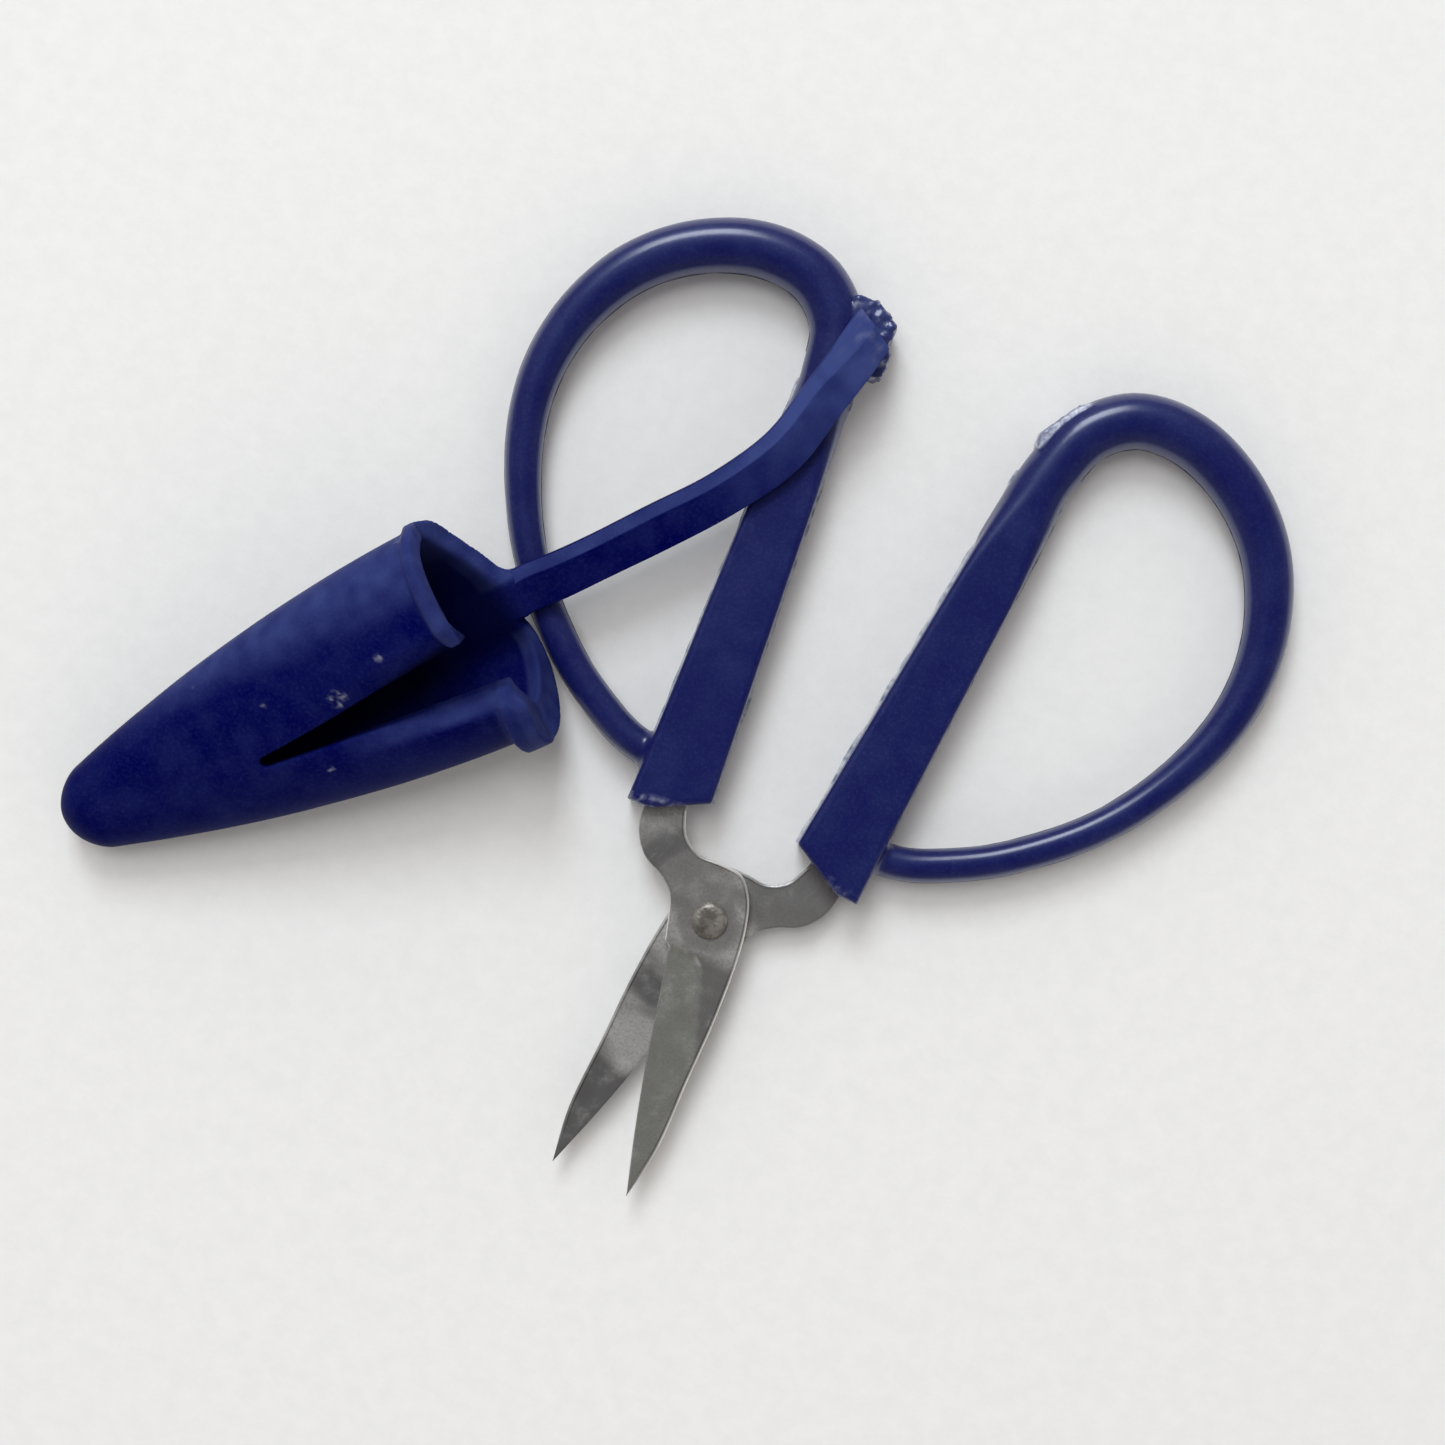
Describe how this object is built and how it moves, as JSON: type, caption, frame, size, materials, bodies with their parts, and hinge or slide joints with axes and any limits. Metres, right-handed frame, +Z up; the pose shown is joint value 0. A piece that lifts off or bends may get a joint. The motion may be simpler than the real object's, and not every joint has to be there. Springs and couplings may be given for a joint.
{
  "type": "thread snips",
  "caption": "Small scissor-action thread snips with two plastic finger-loop grips and a slotted blade cap on a moulded strap.",
  "frame": {"origin": "middle of the underside of the whole object's box, on the surface it lies on", "axes": "+Y from the blade tips to the finger loops, +Z up from the surface, +X towards the right grip and away from the cap"},
  "size_m": [0.1122, 0.1016, 0.0197],
  "materials": {
    "blades": "fine ground stainless steel with cloudy patches and a bright spine edge",
    "rivet": "peened steel, slightly warm grey",
    "grips": "glossy moulded navy plastic with pale parting lines",
    "strap": "soft satin navy plastic with fine speckle",
    "cap": "satin navy plastic with small scuffs"
  },
  "bodies": {
    "left_half": {"upper_blade": "blades", "pivot_rivet": "rivet", "left_handle": "grips"},
    "right_half": {"lower_blade": "blades", "right_handle": "grips"},
    "strap_fold": {"strap_root": "strap"},
    "strap_run": {"strap": "strap"},
    "cap": {"blade_cap": "cap"}
  },
  "joints": [
    {"name": "blade_pivot", "type": "hinge", "parent": "left_half", "child": "right_half", "pos_m": [0.01212, -0.02032, 0.003], "axis": [0, 0, -1], "range_deg": [-16.2, 43.8]},
    {"name": "strap_swing", "type": "hinge", "parent": "left_half", "child": "strap_fold", "pos_m": [0.00142, 0.04387, 0.0072], "axis": [0, 0, -1], "range_deg": [0, 60]},
    {"name": "strap_lift", "type": "hinge", "parent": "strap_fold", "child": "strap_run", "pos_m": [0.00076, 0.03973, 0.0072], "axis": [-0.9874, 0.158, 0], "range_deg": [0, 95]},
    {"name": "cap_tilt", "type": "hinge", "parent": "strap_run", "child": "cap", "pos_m": [-0.02018, 0.00308, 0.0062], "axis": [-0.7547, 0.6561, 0], "range_deg": [-15, 30]}
  ]
}
